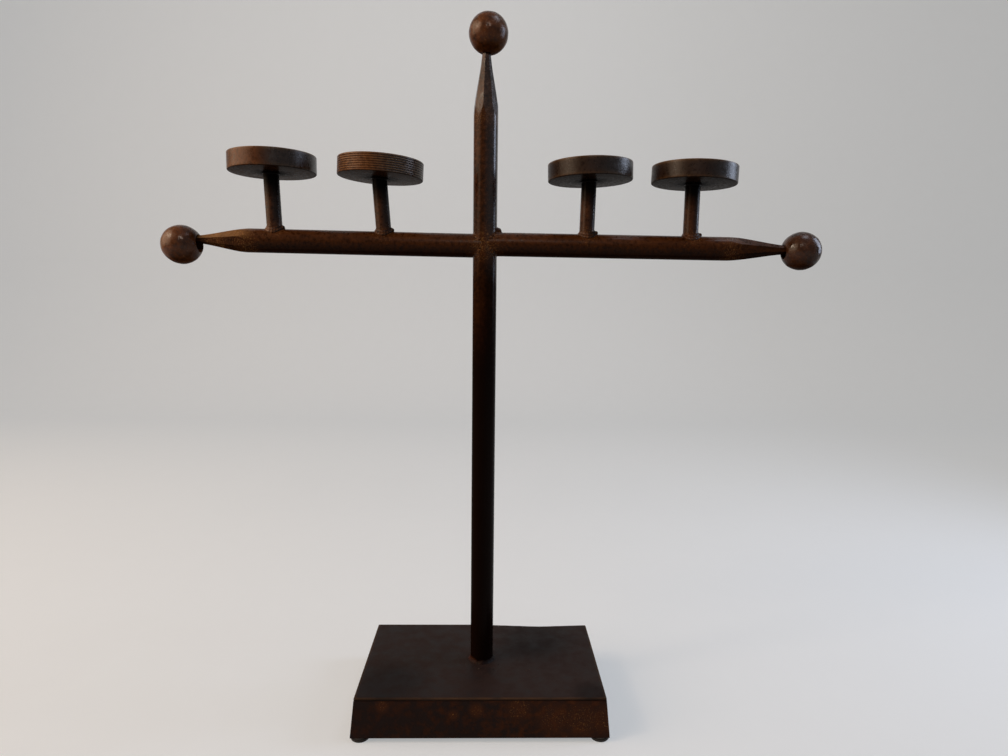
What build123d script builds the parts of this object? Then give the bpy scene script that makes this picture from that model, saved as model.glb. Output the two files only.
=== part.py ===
from build123d import *
import math
import os

# Candle stand in dark patinated steel: a round post on a hollow flared base carries two
# round arms, three drilled ball finials and four shallow candle cups with spikes.
# X runs along the arms to the right, Y to the back, Z up. The feet stand at Z = 0 and
# the post axis is X = Y = 0.

# Base: top plate on four flared panels
base_width = 261.0
base_depth = 157.0
base_height = 41.5
base_flare = 3.6
sheet_thickness = 3.0
plate_edge_break = 0.8

# Corner gussets, rubber feet and their screws
gusset_leg = 36.0
foot_diameter = 20.0
foot_height = 5.0
foot_inset = 9.2
foot_edge_share = 0.32
foot_recess_share = 0.6
screw_diameter = 4.0
screw_head_diameter = 7.5
screw_head_height = 2.2
screw_head_edge_radius = 0.7
screw_end_projection = 2.0
screw_clearance = 0.3

# Post and arms: each arm was welded on by eye, a little under or over the nominal height
post_diameter = 25.4
arm_diameter = 25.0
arm_axis_height = 512.0
left_arm_drop = 1.4
right_arm_rise = 0.5

# Ball finials
ball_diameter = 41.0
ball_stretch_share = 1.02
ball_bore_depth = 19.0
ball_bore_clearance = 0.35
ball_mouth_radius = 0.7
top_ball_reach = 213.0
left_ball_reach = 319.0
right_ball_reach = 339.5
top_ball_shift = 2.0
left_ball_drop = 5.8
right_ball_drop = 0.8
left_bore_rise = 1.6
right_bore_drop = 1.2

# Forged eight-sided tapers: length outside the ball, width over the flats at the ball's
# mouth, the tip as a share of that, and the widths further back as shares of the bar diameter
taper_facets = 8
top_neck_width = 8.4
left_neck_width = 8.7
right_neck_width = 9.7
taper_tip_share = 0.88
taper_entry_share = 1.015
top_taper_length = 67.0
left_taper_length = 62.0
right_taper_length = 66.0
top_taper_middle_share = 0.715
left_taper_middle_share = 0.785
right_taper_middle_share = 0.76

# Stems and candle cups
stem_diameter = 15.9
cup_diameter = 89.0
cup_height = 18.0
cup_wall = 3.0
cup_floor = 3.0
cup_edge_radius = 1.2
cup_rim_share = 0.3
cup_inner_radius = 2.0

# Candle places: distance from the post axis as a share of the arm's reach, and height of the
# cup's underside over the arm axis
outer_left_share = 0.696
inner_left_share = 0.345
inner_right_share = 0.3255
outer_right_share = 0.6495
outer_left_rise = 70.5
inner_left_rise = 66.8
inner_right_rise = 67.1
outer_right_rise = 65.6

# How far each stem stands left of its cup's middle
outer_left_stem_offset = 1.8
inner_left_stem_offset = 1.1
inner_right_stem_offset = 1.2
outer_right_stem_offset = 0.9

# Turning grooves round the grooved cup
groove_count = 7
groove_depth = 0.45
groove_radius = 0.7

# Prickets: spikes pressed through the cup floors into the stems
pricket_diameter = 6.0
pricket_height = 19.5
pricket_tip_diameter = 0.8
pricket_shank_length = 12.0

# Weld beads: hollow fillets in the corners between the pieces
post_weld_radius = 3.2
arm_weld_radius = 3.0
stem_weld_radius = 3.0
cup_weld_radius = 2.2

# Lump of weld metal in the upper corner between the post and the right arm
lump_radius = 3.6
lump_from_corner = 1.4

# Overrun of every cut past the face it leaves through
overrun = 5.0

# Bar ends: reach from the start of the bar's axis to the ball centre, taper, turn of the
# facets about the bar in degrees, and how far the ball sits off the bar and the bore off the
# ball. Both go along the bar's own X: right for the post, up for the left arm and down for
# the right arm. The slope of each arm is in degrees, up towards its ball.
bar_ends = {
    "top": dict(
        reach=arm_axis_height + top_ball_reach,
        taper=top_taper_length,
        neck=top_neck_width,
        middle_share=top_taper_middle_share,
        turn=10.0,
        ball_shift=top_ball_shift,
        bore_shift=-top_ball_shift,
    ),
    "left": dict(
        reach=left_ball_reach,
        taper=left_taper_length,
        neck=left_neck_width,
        middle_share=left_taper_middle_share,
        turn=37.0,
        slope=0.58,
        ball_shift=-left_ball_drop,
        bore_shift=left_bore_rise,
    ),
    "right": dict(
        reach=right_ball_reach,
        taper=right_taper_length,
        neck=right_neck_width,
        middle_share=right_taper_middle_share,
        turn=2.0,
        slope=-0.35,
        ball_shift=right_ball_drop,
        bore_shift=right_bore_drop,
    ),
}

# Candle places: the stem's offset from the cup, its lean and the cup's tilt to the right in degrees.
places = {
    "outer_left": dict(
        along=-outer_left_share * left_ball_reach,
        rise=outer_left_rise,
        offset=outer_left_stem_offset,
        lean=-2.4,
        tilt=0,
        grooves=0,
    ),
    "inner_left": dict(
        along=-inner_left_share * left_ball_reach,
        rise=inner_left_rise,
        offset=inner_left_stem_offset,
        lean=-4.4,
        tilt=2.8,
        grooves=groove_count,
    ),
    "inner_right": dict(
        along=inner_right_share * right_ball_reach,
        rise=inner_right_rise,
        offset=inner_right_stem_offset,
        lean=1.2,
        tilt=-1.4,
        grooves=0,
    ),
    "outer_right": dict(
        along=outer_right_share * right_ball_reach,
        rise=outer_right_rise,
        offset=outer_right_stem_offset,
        lean=0.4,
        tilt=1.6,
        grooves=0,
    ),
}

# Levels and radii that follow
rim_level = foot_height
top_level = foot_height + base_height
plate_level = top_level - sheet_thickness
post_radius = post_diameter / 2
arm_radius = arm_diameter / 2
stem_radius = stem_diameter / 2
ball_radius = ball_diameter / 2
ball_half_length = ball_radius * ball_stretch_share
cup_radius = cup_diameter / 2
cup_rim_radius = cup_wall * cup_rim_share
pricket_bore_depth = pricket_shank_length - cup_floor
foot_recess_depth = foot_height * foot_recess_share

standing = (Align.CENTER, Align.CENTER, Align.MIN)
hanging = (Align.CENTER, Align.CENTER, Align.MAX)

os.makedirs("parts", exist_ok=True)


def save(shape, node):
    """Write one node of the stand."""
    shape.label = node
    export_step(shape, f"parts/{node}.step")


def flat_shape(corners, level):
    """Flat face through the corners at a height."""
    return Plane.XY.offset(level) * make_face(Polyline(*corners, close=True))


def skirt_spread(level):
    """How far the skirt stands out past the top plate at a height."""
    return base_flare * (plate_level - level) / (plate_level - rim_level)


def top_plate():
    """Top plate with broken upper edges and the hole that the post stands in."""
    plate = Pos(0, 0, plate_level) * Box(base_width, base_depth, sheet_thickness, align=standing)
    plate = chamfer(plate.faces().sort_by(Axis.Z)[-1].edges(), plate_edge_break)
    return plate - Pos(0, 0, plate_level) * Cylinder(post_radius, 2 * (sheet_thickness + overrun))


def skirt_panel(length, across):
    """One flared panel, mitred at both ends, in the front place."""
    sections = []
    for level in (rim_level, plate_level):
        x = length / 2 + skirt_spread(level)
        y = across / 2 + skirt_spread(level)
        inner_x = x - sheet_thickness
        inner_y = y - sheet_thickness
        sections.append(flat_shape([(-x, -y), (x, -y), (inner_x, -inner_y), (-inner_x, -inner_y)], level))
    return loft(sections, ruled=True)


def foot_place(side_x, side_y):
    """Axis of one foot on the floor, in from the skirt's lower edges."""
    x = base_width / 2 + base_flare - foot_inset
    y = base_depth / 2 + base_flare - foot_inset
    return Pos(side_x * x, side_y * y, 0)


def corner_gusset(side_x, side_y):
    """Three-cornered plate inside a lower corner of the skirt, threaded for the foot screw."""
    sections = []
    for level in (rim_level, rim_level + sheet_thickness):
        x = base_width / 2 + skirt_spread(level) - sheet_thickness
        y = base_depth / 2 + skirt_spread(level) - sheet_thickness
        corners = [(side_x * x, side_y * y)]
        corners.append((side_x * (x - gusset_leg), side_y * y))
        corners.append((side_x * x, side_y * (y - gusset_leg)))
        sections.append(flat_shape(corners, level))
    plate = loft(sections, ruled=True)
    hole = Cylinder(screw_diameter / 2, 2 * (rim_level + sheet_thickness + overrun))
    return plate - foot_place(side_x, side_y) * hole


def rubber_foot():
    """Round foot with rolled edges, recessed underneath for the screw head."""
    foot = Cylinder(foot_diameter / 2, foot_height, align=standing)
    foot = fillet(foot.edges().filter_by(GeomType.CIRCLE), foot_height * foot_edge_share)
    recess = Cylinder(screw_head_diameter / 2 + screw_clearance, foot_recess_depth + overrun, align=hanging)
    hole = Cylinder(screw_diameter / 2 + screw_clearance, 2 * (foot_height + overrun))
    return foot - Pos(0, 0, foot_recess_depth) * recess - hole


def foot_screw():
    """Pan-head screw up through the foot into the gusset."""
    head = Cylinder(screw_head_diameter / 2, screw_head_height, align=hanging)
    head = fillet(head.edges().sort_by(Axis.Z)[0], screw_head_edge_radius)
    length = foot_height - foot_recess_depth + sheet_thickness + screw_end_projection
    shank = Cylinder(screw_diameter / 2, length, align=standing)
    return Pos(0, 0, foot_recess_depth) * (head + shank)


def corner_radius(width):
    """Radius over the corners of a taper of a width over the flats."""
    return width / 2 / math.cos(math.pi / taper_facets)


def tapered_bar(diameter, start, end):
    """Round bar along Z, its far end forged to an eight-sided taper that fills the ball's bore depth."""
    neck = end["reach"] - ball_half_length
    tip = neck + ball_bore_depth
    entry = neck - end["taper"]
    middle = neck - end["taper"] / 2
    stations = [(entry, diameter * taper_entry_share), (middle, diameter * end["middle_share"])]
    stations += [(neck, end["neck"]), (tip, end["neck"] * taper_tip_share)]
    turn = end["turn"] + 180 / taper_facets
    sections = []
    for level, width in stations:
        outline = RegularPolygon(corner_radius(width), taper_facets, rotation=turn)
        sections.append(Plane.XY.offset(level) * outline)
    shaft = Pos(0, 0, start) * Cylinder(diameter / 2, entry - start, align=standing)
    point = Pos(0, 0, entry) * Cylinder(diameter / 2, tip - entry, align=standing)
    return shaft + (point & loft(sections))


def round_bar(diameter, end):
    """Plain round bar along Z as far as the ball, to lay welds against, its closing line turned to the back."""
    return Rot(0, 0, 130) * Cylinder(diameter / 2, end["reach"] - ball_half_length, align=standing)


def ball_finial(end):
    """Ball a little longer than wide along Z, its blind bore wide enough for a point that is off centre."""
    half_space = Rectangle(ball_diameter, 2 * ball_diameter, align=(Align.MIN, Align.CENTER))
    ball = revolve(Plane.XZ * (Ellipse(ball_radius, ball_half_length) & half_space), Axis.Z)
    bore_end = ball_bore_depth - ball_half_length
    point_offset = abs(end["ball_shift"] + end["bore_shift"])
    bore_radius = corner_radius(end["neck"]) + point_offset + ball_bore_clearance
    bore = Cylinder(bore_radius, ball_bore_depth + overrun, align=hanging)
    ball -= Pos(end["bore_shift"], 0, bore_end) * bore
    return fillet(ball.edges().sort_by(Axis.Z)[0], ball_mouth_radius)


def rounded(outline, corner, radius):
    """Flat outline with the vertex nearest a point rounded."""
    return fillet(outline.vertices().sort_by_distance(corner)[0], radius)


def candle_cup(grooves):
    """Shallow turned cup standing on Z = 0, drilled for the pricket."""
    inside = cup_radius - cup_wall
    corners = [(0, 0), (cup_radius, 0), (cup_radius, cup_height), (inside, cup_height), (inside, cup_floor)]
    outline = make_face(Polyline(*corners, (0, cup_floor), close=True))
    outline = rounded(outline, (cup_radius, 0), cup_edge_radius)
    outline = rounded(outline, (cup_radius, cup_height), cup_rim_radius)
    outline = rounded(outline, (inside, cup_height), cup_rim_radius)
    outline = rounded(outline, (inside, cup_floor), cup_inner_radius)
    for number in range(grooves):
        level = cup_height * (number + 1) / (grooves + 1)
        outline -= Pos(cup_radius + groove_radius - groove_depth, level) * Circle(groove_radius)
    cup = revolve(Plane.XZ * outline, Axis.Z)
    return cup - Cylinder(pricket_diameter / 2, 2 * (cup_floor + overrun))


def pricket():
    """Spike that stands out of a cup floor at Z = 0, with its shank below."""
    shank = Cylinder(pricket_diameter / 2, pricket_shank_length, align=hanging)
    spike = Cone(pricket_diameter / 2, pricket_tip_diameter / 2, pricket_height, align=standing)
    return shank + spike


def weld_bead(first, second, radius):
    """Hollow bead of weld metal laid along the corner where two pieces run into each other."""
    joint = first + second
    seam = new_edges(first, second, combined=joint)
    return fillet(seam, radius) - first - second


# Base
save(top_plate(), "base_top_plate")
long_panel = skirt_panel(base_width, base_depth)
short_panel = skirt_panel(base_depth, base_width)
save(long_panel, "base_front_panel")
save(Rot(0, 0, 90) * short_panel, "base_right_panel")
save(Rot(0, 0, 180) * long_panel, "base_rear_panel")
save(Rot(0, 0, 270) * short_panel, "base_left_panel")

# Gussets, feet and screws in the four corners
screws = []
for end_name, side_y in (("front", -1), ("rear", 1)):
    for side_name, side_x in (("left", -1), ("right", 1)):
        corner = foot_place(side_x, side_y)
        save(corner_gusset(side_x, side_y), f"gusset_{end_name}_{side_name}")
        save(corner * rubber_foot(), f"foot_{end_name}_{side_name}")
        screws.append(corner * foot_screw())
save(Compound(screws), "foot_screws")

# Post, welded into the top plate
post = tapered_bar(post_diameter, plate_level, bar_ends["top"])
save(post, "post")
plate_block = Pos(0, 0, top_level) * Box(base_width, base_depth, base_height, align=hanging)
save(weld_bead(plate_block, post, post_weld_radius), "post_weld")

# Arms, coped to the post and welded all round
bar_frames = {
    "top": Pos(0, 0, 0),
    "left": Pos(0, 0, arm_axis_height - left_arm_drop) * Rot(0, bar_ends["left"]["slope"] - 90, 0),
    "right": Pos(0, 0, arm_axis_height + right_arm_rise) * Rot(0, 90 - bar_ends["right"]["slope"], 0),
}
arms = {}
round_arms = {}
for side in ("left", "right"):
    bar = bar_frames[side] * tapered_bar(arm_diameter, 0, bar_ends[side])
    arms[side] = bar - post
    save(arms[side], f"{side}_arm")
    round_arms[side] = bar_frames[side] * round_bar(arm_diameter, bar_ends[side])
    weld = weld_bead(round_bar(post_diameter, bar_ends["top"]), round_arms[side], arm_weld_radius)
    if side == "right":
        corner_x = post_radius + lump_from_corner
        corner_z = arm_axis_height + right_arm_rise + arm_radius + lump_from_corner
        weld += Pos(corner_x, -lump_from_corner, corner_z) * Sphere(lump_radius) - post - bar
    save(weld, f"{side}_arm_weld")

# Ball finials on the three points
for side, end in bar_ends.items():
    save(bar_frames[side] * Pos(end["ball_shift"], 0, end["reach"]) * ball_finial(end), f"{side}_ball")

# Stems, cups and prickets
for name, place in places.items():
    side = "left" if place["along"] < 0 else "right"
    lean = math.radians(place["lean"])
    foot_x = place["along"] - place["offset"] - place["rise"] * math.tan(lean)
    foot = Pos(foot_x, 0, arm_axis_height)
    seat = Pos(place["along"], 0, arm_axis_height + place["rise"]) * Rot(0, place["tilt"], 0)
    seat_block = seat * Box(cup_diameter, cup_diameter, cup_height, align=standing)

    stem_length = place["rise"] / math.cos(lean) + stem_radius
    rod = foot * Rot(0, place["lean"], 0) * Cylinder(stem_radius, stem_length, align=standing)
    pricket_bore = seat * Cylinder(pricket_diameter / 2, pricket_bore_depth, align=hanging)
    save(rod - arms[side] - seat_block - pricket_bore, f"{name}_stem")
    save(weld_bead(round_arms[side], rod, stem_weld_radius), f"{name}_stem_weld")
    save(weld_bead(seat_block, rod, cup_weld_radius), f"{name}_cup_weld")

    save(seat * candle_cup(place["grooves"]), f"{name}_cup")
    save(seat * Pos(0, 0, cup_floor) * pricket(), f"{name}_pricket")
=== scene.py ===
import math

import bmesh
import bpy
from bpy.props import FloatProperty, FloatVectorProperty, IntProperty, PointerProperty
from mathutils import Matrix, Vector


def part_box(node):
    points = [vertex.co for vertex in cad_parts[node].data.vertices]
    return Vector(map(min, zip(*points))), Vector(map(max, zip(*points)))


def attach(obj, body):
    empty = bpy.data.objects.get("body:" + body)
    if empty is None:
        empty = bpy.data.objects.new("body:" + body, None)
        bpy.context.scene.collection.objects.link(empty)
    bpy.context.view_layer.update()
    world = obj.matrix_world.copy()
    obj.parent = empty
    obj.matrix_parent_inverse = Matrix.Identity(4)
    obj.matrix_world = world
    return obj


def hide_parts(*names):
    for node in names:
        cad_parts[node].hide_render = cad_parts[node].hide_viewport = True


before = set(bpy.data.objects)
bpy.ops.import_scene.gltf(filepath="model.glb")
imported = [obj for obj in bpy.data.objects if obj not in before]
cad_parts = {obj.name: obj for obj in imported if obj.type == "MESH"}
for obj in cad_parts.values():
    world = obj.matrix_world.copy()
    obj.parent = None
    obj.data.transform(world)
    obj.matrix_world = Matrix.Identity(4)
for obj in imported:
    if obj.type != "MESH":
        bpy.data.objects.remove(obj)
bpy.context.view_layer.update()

bl_info = {
    "name": "Pricket candle stand",
    "version": (1, 0, 0),
    "blender": (4, 5, 0),
    "location": "View3D > Sidebar > Candle stand",
    "description": "Dresses a welded steel stand for four candles and sets its stage",
    "category": "Object",
}

MM = 0.001

# Degrees between two faces over which their edge stays sharp in the shading
SHARP_ANGLE = 35

# Candle places: distance from the post axis and rise of the cup's underside over the arm axis
# in millimetres, then the tilt of the cup to the right in degrees.
PLACES = {
    "outer_left": (-222.0, 70.5, 0.0),
    "inner_left": (-110.1, 66.8, 2.8),
    "inner_right": (110.5, 67.1, -1.4),
    "outer_right": (220.5, 65.6, 1.6),
}

# Places where the hammer or the welder has been along the bars: X, Y, Z and reach in millimetres.
WORN = (
    (0, 0, 512, 30), (-221.6, 0, 521, 20), (-107.2, 0, 519, 20), (108.2, 0, 519, 20), (219.2, 0, 519, 20),
    (-250, 0, 513, 26), (-280, 0, 513, 24), (262, 0, 511, 24), (-2, 0, 640, 22), (-8, -6, 44, 9),
)

# Hammered flats of the left arm's taper, with painted light on their upper faces: X, Y, Z and reach in
# millimetres.
FLATS = ((-262, 0, 516, 24), (-285, 0, 513, 24), (-304, 0, 510, 20))

# Dry ochre rust on the front panel: X, Y, Z and reach in millimetres.
BLOTCHES = (
    (-101, -79, 38, 10), (-28, -80, 29, 8), (-4, -79.5, 34, 11), (39, -79, 36, 20), (76, -80, 26, 26),
    (104, -80, 24, 30), (128, -80, 24, 24),
)

# Cool dark stains on the base plate: X, Y, Z and reach in millimetres.
STAINS = ((-98, -52, 46.5, 52), (62, 44, 46.5, 58), (118, -70, 46.5, 26))

# Ball centres in millimetres, the turn about Y that points each bore at its bar, and the bore's
# radius and shift off the ball's middle in millimetres.
BALLS = {
    "top_ball": ((2.0, 0.0, 725.0), 0.0, 4.9, -2.0),
    "left_ball": ((-319.0, 0.0, 508.0), -89.4, 9.3, 1.6),
    "right_ball": ((339.5, 0.0, 509.6), 90.4, 7.6, 1.2),
}

# Lamps: place, point looked at, and width and height, all in metres, then power in watts and colour.
STAND_MIDDLE = (0, 0, 0.5)
LAMPS = {
    "key_lamp": ((-1.90, -0.50, 1.35), STAND_MIDDLE, (2.2, 1.8), 24, "FFDDBB"),
    "shoulder_lamp": ((-1.35, -0.50, 1.40), STAND_MIDDLE, (0.22, 0.22), 4, "FFE6CC"),
    "ceiling_spot": ((0.04, -1.17, 1.36), STAND_MIDDLE, (0.14, 0.14), 1.6, "FFF0E0"),
    "window_panel": ((1.30, 0.12, 0.86), STAND_MIDDLE, (0.40, 0.9), 6, "D9E6FF"),
    "ceiling_panel": ((0.75, -0.15, 2.1), (0.3, -0.05, 0.5), (0.7, 0.5), 4, "E6ECFA"),
    "backdrop_wash": ((0, 1.0, 2.2), (0, 2.2, 0.9), (2.4, 0.4), 4, "FFFFFF"),
}

# Camera: place in millimetres, its turns to the right, down and anticlockwise in degrees, the width
# of its sensor in millimetres, and its focal length in pixels of an image of the width given.
CAMERA_PLACE = (6.24, -719.17, 455.32)
CAMERA_TURNS = (1.249, 6.81, 0.669)
SENSOR_WIDTH = 36.0
IMAGE_WIDTH = 1008
FOCAL_PIXELS = 665

# Patina: the wide clouds of rust are so many patches across, have this share in the mixture of clouds
# and patches, and the mixture has this middle. A plain noise has a middle and a usual range.
CLOUD_PATCHES = 7
CLOUD_SHARE = 0.55
MIXTURE_MIDDLE = 0.785
NOISE_MIDDLE = 0.5
NOISE_RANGE = (0.35, 0.65)

# Shares: wax on faces that look down and under painted shade and stains, bare metal on edges that look
# down, flecks and dust in worn spots, painted light on hammered flats, raggedness of a border, and grit
# and turning marks in the relief.
LOW_WAX, SHADED_AND_STAINED_WAX, LOW_BARE = 0.01, 0.2, 0.15
WORN_FLECKS, WORN_DUST, FLAT_PAINTED_LIGHT = 0.15, 0.75, 0.68
RAGGED_BORDER = 0.5
GRIT_RELIEF, LINE_RELIEF = 0.45, 0.8

# Flecks fade in over this stretch of the grain, and a bump reaches over so many reliefs.
FLECK_FADE = 0.10
BUMP_RELIEFS = 4

# Between two slopes of a face, as the Z of the way that it looks: the wax gets thick, the flats get
# their painted light, edges are rubbed bare, a face is too level for bare edges, painted shade and stains
# give way to their upper share, and turning marks end.
WAX_SLOPES = (-0.75, 0.15)
FLAT_SLOPES = (0.0, 0.3)
BARE_SLOPES = (-0.3, 0.1)
LEVEL_SLOPES = (0.990, 0.997)
SHADE_AND_STAIN_SLOPES = (0.2, 0.6)
TURNING_SLOPES = (0.2, 0.5)

# Pointiness of an edge where its bare metal starts and where it is full.
EDGE_POINTS = (0.503, 0.53)


def linear(code):
    """Linear colour of an sRGB hex code."""
    channels = [int(code[start:start + 2], 16) / 255 for start in (0, 2, 4)]
    return tuple(c / 12.92 if c <= 0.04045 else ((c + 0.055) / 1.055) ** 2.4 for c in channels) + (1.0,)


class StandSizes(bpy.types.PropertyGroup):
    """Sizes of the pieces that are modelled here."""

    arm_height: FloatProperty(
        name="Arm height", description="Height of the arm axis over the floor", default=512 * MM,
        unit="LENGTH")
    ball_diameter: FloatProperty(
        name="Balls", description="Diameter of the ball finials", default=40.6 * MM, unit="LENGTH")
    ball_stretch: FloatProperty(
        name="Ball stretch", description="Length of a ball along its bar over its width", default=1.02,
        subtype="FACTOR", min=0.9, max=1.1)
    bore_depth: FloatProperty(
        name="Bore depth", description="Depth of the hole in a ball", default=19 * MM, unit="LENGTH")
    cup_diameter: FloatProperty(
        name="Cups", description="Outside diameter of the candle cups", default=89 * MM, unit="LENGTH")
    cup_height: FloatProperty(
        name="Cup height", description="Height of the candle cups", default=18 * MM, unit="LENGTH")
    cup_wall: FloatProperty(
        name="Cup wall", description="Thickness of a cup's wall and floor", default=3 * MM, unit="LENGTH")
    groove_count: IntProperty(
        name="Grooves", description="Turning grooves round the grooved cup", default=7, min=0, max=12)
    groove_depth: FloatProperty(
        name="Groove depth", description="Depth of a turning groove", default=0.45 * MM, unit="LENGTH")
    plate_thickness: FloatProperty(
        name="Sheet", description="Thickness of the base plate", default=3 * MM, unit="LENGTH")
    rear_sag: FloatProperty(
        name="Rear sag", description="How far the plate's rear edge sags to the right of the post",
        default=2.4 * MM, unit="LENGTH")
    foot_diameter: FloatProperty(
        name="Feet", description="Diameter of the rubber feet", default=20 * MM, unit="LENGTH")
    foot_height: FloatProperty(
        name="Foot height", description="Height of the rubber feet", default=5 * MM, unit="LENGTH")


# Settings that every colour has
COLOUR = {"size": 4, "subtype": "COLOR", "min": 0, "max": 1}


class StandColours(bpy.types.PropertyGroup):
    """Colours of the finishes."""

    # Rust brown and umber also carry painted light and shade: more brown where light falls, more umber in
    # shade
    rust: FloatVectorProperty(
        name="Rust brown", description="Warm brown of the oiled rust", **COLOUR, default=linear("683B1B"))
    umber: FloatVectorProperty(
        name="Umber", description="Dark brown of the heavy patina", **COLOUR, default=linear("160B07"))
    # Mill scale is also the black of the painted shade at the stem tops and under the cups
    scale: FloatVectorProperty(
        name="Mill scale", description="Near-black scale under the wax", **COLOUR,
        default=linear("0A0605"))
    # Ochre is also the painted light on the upper faces of the left taper's hammered flats
    ochre: FloatVectorProperty(
        name="Ochre", description="Light flecks of dry rust", **COLOUR, default=linear("9A7145"))
    ember: FloatVectorProperty(
        name="Ember", description="Red rust on the weld at the post's foot", **COLOUR,
        default=linear("3C1A10"))
    sheet: FloatVectorProperty(
        name="Base sheet", description="Dull plum brown of the base", **COLOUR, default=linear("2C1F1C"))
    fold: FloatVectorProperty(
        name="Base panels", description="Dark red brown of the folded panels", **COLOUR,
        default=linear("21130F"))
    blotch: FloatVectorProperty(
        name="Blotches", description="Dry rust on the folded panels", **COLOUR, default=linear("5A331E"))
    stain: FloatVectorProperty(
        name="Stain", description="Cool dark stains on the base plate", **COLOUR, default=linear("141416"))
    rubber: FloatVectorProperty(
        name="Rubber", description="Black of the feet", **COLOUR, default=linear("161412"))
    bloom: FloatVectorProperty(
        name="Rubber bloom", description="Dull bloom on the feet", **COLOUR, default=linear("24211E"))
    # The rim grey on the feet's sharp edges is a painted highlight, the ring of light on their rounded rims
    rim: FloatVectorProperty(
        name="Rubber rim", description="Greyed rims of the feet", **COLOUR, default=linear("5A5654"))
    floor: FloatVectorProperty(
        name="Floor", description="Pale floor and backdrop", **COLOUR, default=linear("DDE0E2"))


def clear():
    """Leave edit mode and select nothing."""
    if bpy.context.mode != "OBJECT":
        bpy.ops.object.mode_set(mode="OBJECT")
    bpy.ops.object.select_all(action="DESELECT")


def take(piece):
    """Make a piece the only selected one."""
    clear()
    piece.select_set(True)
    bpy.context.view_layer.objects.active = piece


def pick(piece, kind, wanted):
    """Select in edit mode the vertices or edges that a test takes."""
    bpy.ops.mesh.select_mode(type=kind)
    bpy.ops.mesh.select_all(action="DESELECT")
    mesh = bmesh.from_edit_mesh(piece.data)
    for item in {"VERT": mesh.verts, "EDGE": mesh.edges}[kind]:
        if wanted(item):
            item.select_set(True)
    mesh.select_flush_mode()
    bmesh.update_edit_mesh(piece.data)


def modify(piece, kind, **settings):
    """Put one modifier on a piece and apply it."""
    take(piece)
    bpy.ops.object.modifier_add(type=kind)
    modifier = piece.modifiers[-1]
    for key, value in settings.items():
        setattr(modifier, key, value)
    bpy.ops.object.modifier_apply(modifier=modifier.name)


def roughen(piece, size, strength):
    """Push a piece's surface in and out by clouds of a size and strength in millimetres."""
    cloud = bpy.data.textures.new(f"{piece.name}_lumps", "CLOUDS")
    cloud.noise_scale = size * MM
    cloud.noise_depth = 2
    modify(piece, "DISPLACE", texture=cloud, texture_coords="LOCAL", strength=strength * MM, mid_level=0.5)


def turned(name, rings, segments=128):
    """Turn a closed solid: a disc drawn out from ring to ring, each a radius and a height in mm."""
    clear()
    radius, height = rings[0]
    bpy.ops.mesh.primitive_circle_add(
        vertices=segments, radius=radius * MM, fill_type="NGON", location=(0, 0, height * MM))
    piece = bpy.context.object
    piece.name = name
    bpy.ops.object.transform_apply(location=True, rotation=True, scale=True)
    bpy.ops.object.mode_set(mode="EDIT")
    bpy.ops.mesh.select_all(action="SELECT")
    for next_radius, next_height in rings[1:]:
        bpy.ops.mesh.extrude_region_move(
            TRANSFORM_OT_translate={"value": (0, 0, (next_height - height) * MM)})
        share = next_radius / radius
        bpy.ops.transform.resize(value=(share, share, 1), center_override=(0, 0, next_height * MM))
        radius, height = next_radius, next_height
    bpy.ops.mesh.select_all(action="SELECT")
    bpy.ops.mesh.normals_make_consistent(inside=False)
    clear()
    return piece


def arc(centre, radius, start, end):
    """Points of a rounded edge in a turned outline, angles in degrees."""
    steps = 5
    angles = [math.radians(start + (end - start) * step / steps) for step in range(steps + 1)]
    return [(centre[0] + radius * math.cos(a), centre[1] + radius * math.sin(a)) for a in angles]


def again(piece, name):
    """Copy of a piece with its own mesh."""
    take(piece)
    bpy.ops.object.duplicate()
    copy = bpy.context.object
    copy.name = name
    return copy


def put(piece, matrix):
    """Move a piece to its place and leave the place in its mesh."""
    take(piece)
    piece.matrix_world = matrix
    bpy.ops.object.transform_apply(location=True, rotation=True, scale=True)


def dress(piece, material, slot, *nodes):
    """Finish a new piece: shading, material, the body it rides on and the nodes it stands for. The slot is
    not used.
    """
    take(piece)
    bpy.ops.object.shade_smooth_by_angle(angle=math.radians(SHARP_ANGLE))
    piece.data.materials.clear()
    piece.data.materials.append(material)
    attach(piece, "root")
    if nodes:
        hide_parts(*nodes)


def coat(node, material):
    """Give a carried-over node its material."""
    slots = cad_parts[node].material_slots
    if not slots:
        raise RuntimeError(f"{node} has no material slot")
    for slot in slots:
        slot.material = material


def seat(name):
    """Frame at the middle of a candle cup's underside."""
    along, rise, tilt = PLACES[name]
    sizes = bpy.context.scene.stand_sizes
    middle = Matrix.Translation((along * MM, 0, sizes.arm_height + rise * MM))
    return middle @ Matrix.Rotation(math.radians(tilt), 4, "Y")


def feed(tree, node, inputs):
    """Set a node's inputs, by name or number, to values or to links from nodes or their outputs."""
    for key, value in inputs.items():
        used = [socket for socket in node.inputs if socket.enabled]
        socket = used[key] if isinstance(key, int) else next(s for s in used if s.name == key)
        if isinstance(value, bpy.types.Node):
            value = next(output for output in value.outputs if output.enabled)
        if isinstance(value, bpy.types.NodeSocket):
            tree.links.new(value, socket)
        else:
            socket.default_value = value


def add(tree, kind, inputs=None, stops=(), **settings):
    """Add a shader node with its settings, inputs and colour stops."""
    node = tree.nodes.new(f"ShaderNode{kind}")
    for key, value in settings.items():
        setattr(node, key, value)
    for number, (position, colour) in enumerate(stops):
        elements = node.color_ramp.elements
        element = elements[number] if number < len(elements) else elements.new(position)
        element.position = position
        element.color = colour
    feed(tree, node, inputs or {})
    return node


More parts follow.
